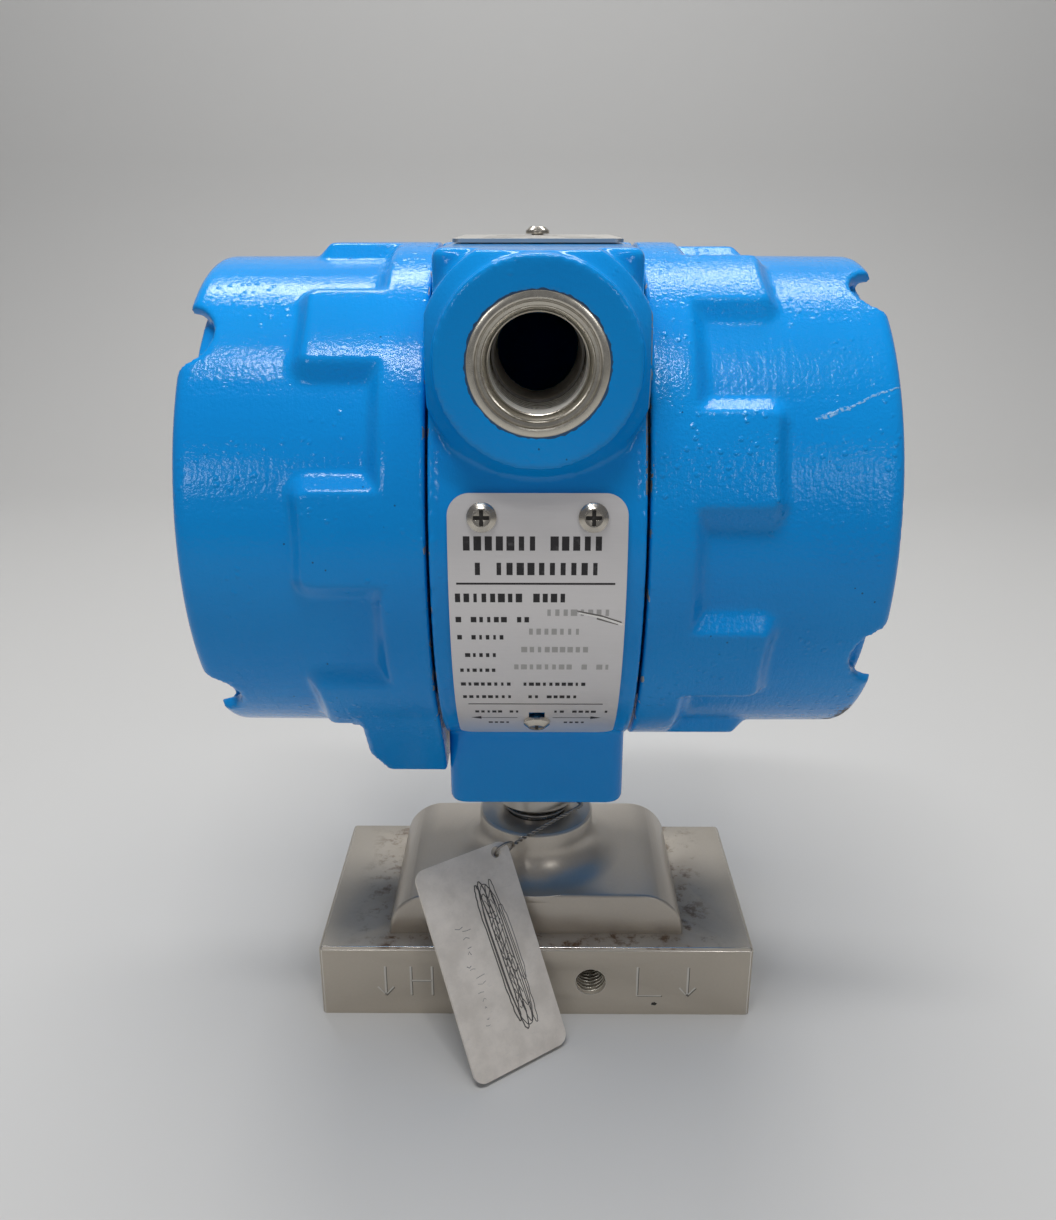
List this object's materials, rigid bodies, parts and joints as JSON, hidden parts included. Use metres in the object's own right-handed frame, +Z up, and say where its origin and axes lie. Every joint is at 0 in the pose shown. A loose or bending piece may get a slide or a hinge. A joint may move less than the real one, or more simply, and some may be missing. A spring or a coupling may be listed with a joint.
{
  "type": "differential pressure transmitter",
  "caption": "Field pressure transmitter: a round painted housing with screw-on covers and a conduit entry, on a swivel neck over a steel sensor module and its flat process block.",
  "frame": {"origin": "centre of the process block's underside, the face that seats on a manifold or stands on a bench", "axes": "+Z up; the housing's axis lies along X; the conduit entry and the name plate face -Y; the terminal side is +X and the high pressure port is at -X"},
  "size_m": [0.1484, 0.122, 0.1993],
  "materials": {
    "block_steel": "satin stainless steel, ground flat, slightly stained",
    "module_steel": "polished cast stainless steel",
    "fastener_steel": "plain steel socket screws",
    "diaphragm_steel": "thin bright stainless foil",
    "stem_steel": "turned stainless steel",
    "nut_steel": "turned stainless steel, bright",
    "blue_paint": "cast aluminium under glossy blue enamel with a fine orange peel",
    "plate_metal": "thin satin aluminium plate, printed face left bare",
    "top_plate_metal": "thin satin aluminium plate",
    "screw_steel": "small plated steel screws",
    "button_steel": "small turned steel pins",
    "black_plastic": "black moulded case",
    "board_laminate": "green board laminate",
    "board_plastic": "black parts on the board",
    "terminal_plastic": "black moulded terminal block",
    "terminal_brass": "plated brass",
    "seal_rubber": "black rubber rings",
    "tag_steel": "thin stainless plate, scratched",
    "wire_steel": "twisted stainless wire"
  },
  "bodies": {
    "base": {"process_block": "block_steel", "flange_screws": "fastener_steel", "sensor_module": "module_steel", "diaphragm_low": "diaphragm_steel", "diaphragm_high": "diaphragm_steel", "flange_seal_low": "seal_rubber", "flange_seal_high": "seal_rubber", "sensor_cell": "stem_steel", "stem": "stem_steel", "lock_nut": "nut_steel", "tag_wire": "wire_steel"},
    "head": {"housing": "blue_paint", "name_plate": "plate_metal", "name_plate_screws": "screw_steel", "top_plate_screw": "screw_steel", "electronics_case": "black_plastic", "circuit_board": "board_laminate", "board_parts": "board_plastic", "board_screws": "screw_steel", "terminal_block": "terminal_plastic", "terminal_clamps": "terminal_brass", "terminal_screws": "terminal_brass", "ground_screw": "terminal_brass"},
    "left_ring": {"cover_seal_left": "seal_rubber"},
    "left_cover": {"cover_left": "blue_paint"},
    "right_ring": {"cover_seal_right": "seal_rubber"},
    "right_cover": {"cover_right": "blue_paint"},
    "zero_pin": {"zero_button": "button_steel"},
    "span_pin": {"span_button": "button_steel"},
    "lid_plate": {"top_plate": "top_plate_metal"},
    "hang_tag": {"tag": "tag_steel"}
  },
  "joints": [
    {"name": "housing_turn", "type": "hinge", "parent": "base", "child": "head", "pos_m": [0, 0, 0.07], "axis": [0, 0, 1], "range_deg": [-180, 180]},
    {"name": "left_cover_slide", "type": "slide", "parent": "head", "child": "left_ring", "axis": [-1, 0, 0], "range_m": [0, 0.014]},
    {"name": "left_cover_turn", "type": "hinge", "parent": "left_ring", "child": "left_cover", "pos_m": [-0.04, 0, 0.1361], "axis": [-1, 0, 0], "range_deg": [0, 2520]},
    {"name": "right_cover_slide", "type": "slide", "parent": "head", "child": "right_ring", "axis": [1, 0, 0], "range_m": [0, 0.014]},
    {"name": "right_cover_turn", "type": "hinge", "parent": "right_ring", "child": "right_cover", "pos_m": [0.04, 0, 0.1361], "axis": [1, 0, 0], "range_deg": [0, 2520]},
    {"name": "top_plate_swivel", "type": "hinge", "parent": "head", "child": "lid_plate", "pos_m": [0, 0.0252, 0.1965], "axis": [0, 0, 1], "range_deg": [-120, 120]},
    {"name": "zero_press", "type": "slide", "parent": "head", "child": "zero_pin", "axis": [0, 0, -1], "range_m": [0, 0.002], "stiffness_N_per_m": 600},
    {"name": "span_press", "type": "slide", "parent": "head", "child": "span_pin", "axis": [0, 0, -1], "range_m": [0, 0.002], "stiffness_N_per_m": 600},
    {"name": "tag_swing", "type": "hinge", "parent": "base", "child": "hang_tag", "pos_m": [-0.01073, -0.0222, 0.04495], "axis": [-0.8111, -0.585, 0], "range_deg": [0, 60]}
  ],
  "couplings": [
    {"joint": "left_cover_slide", "follows": "left_cover_turn", "m_per_rad": 0.00031831},
    {"joint": "right_cover_slide", "follows": "right_cover_turn", "m_per_rad": 0.00031831}
  ]
}
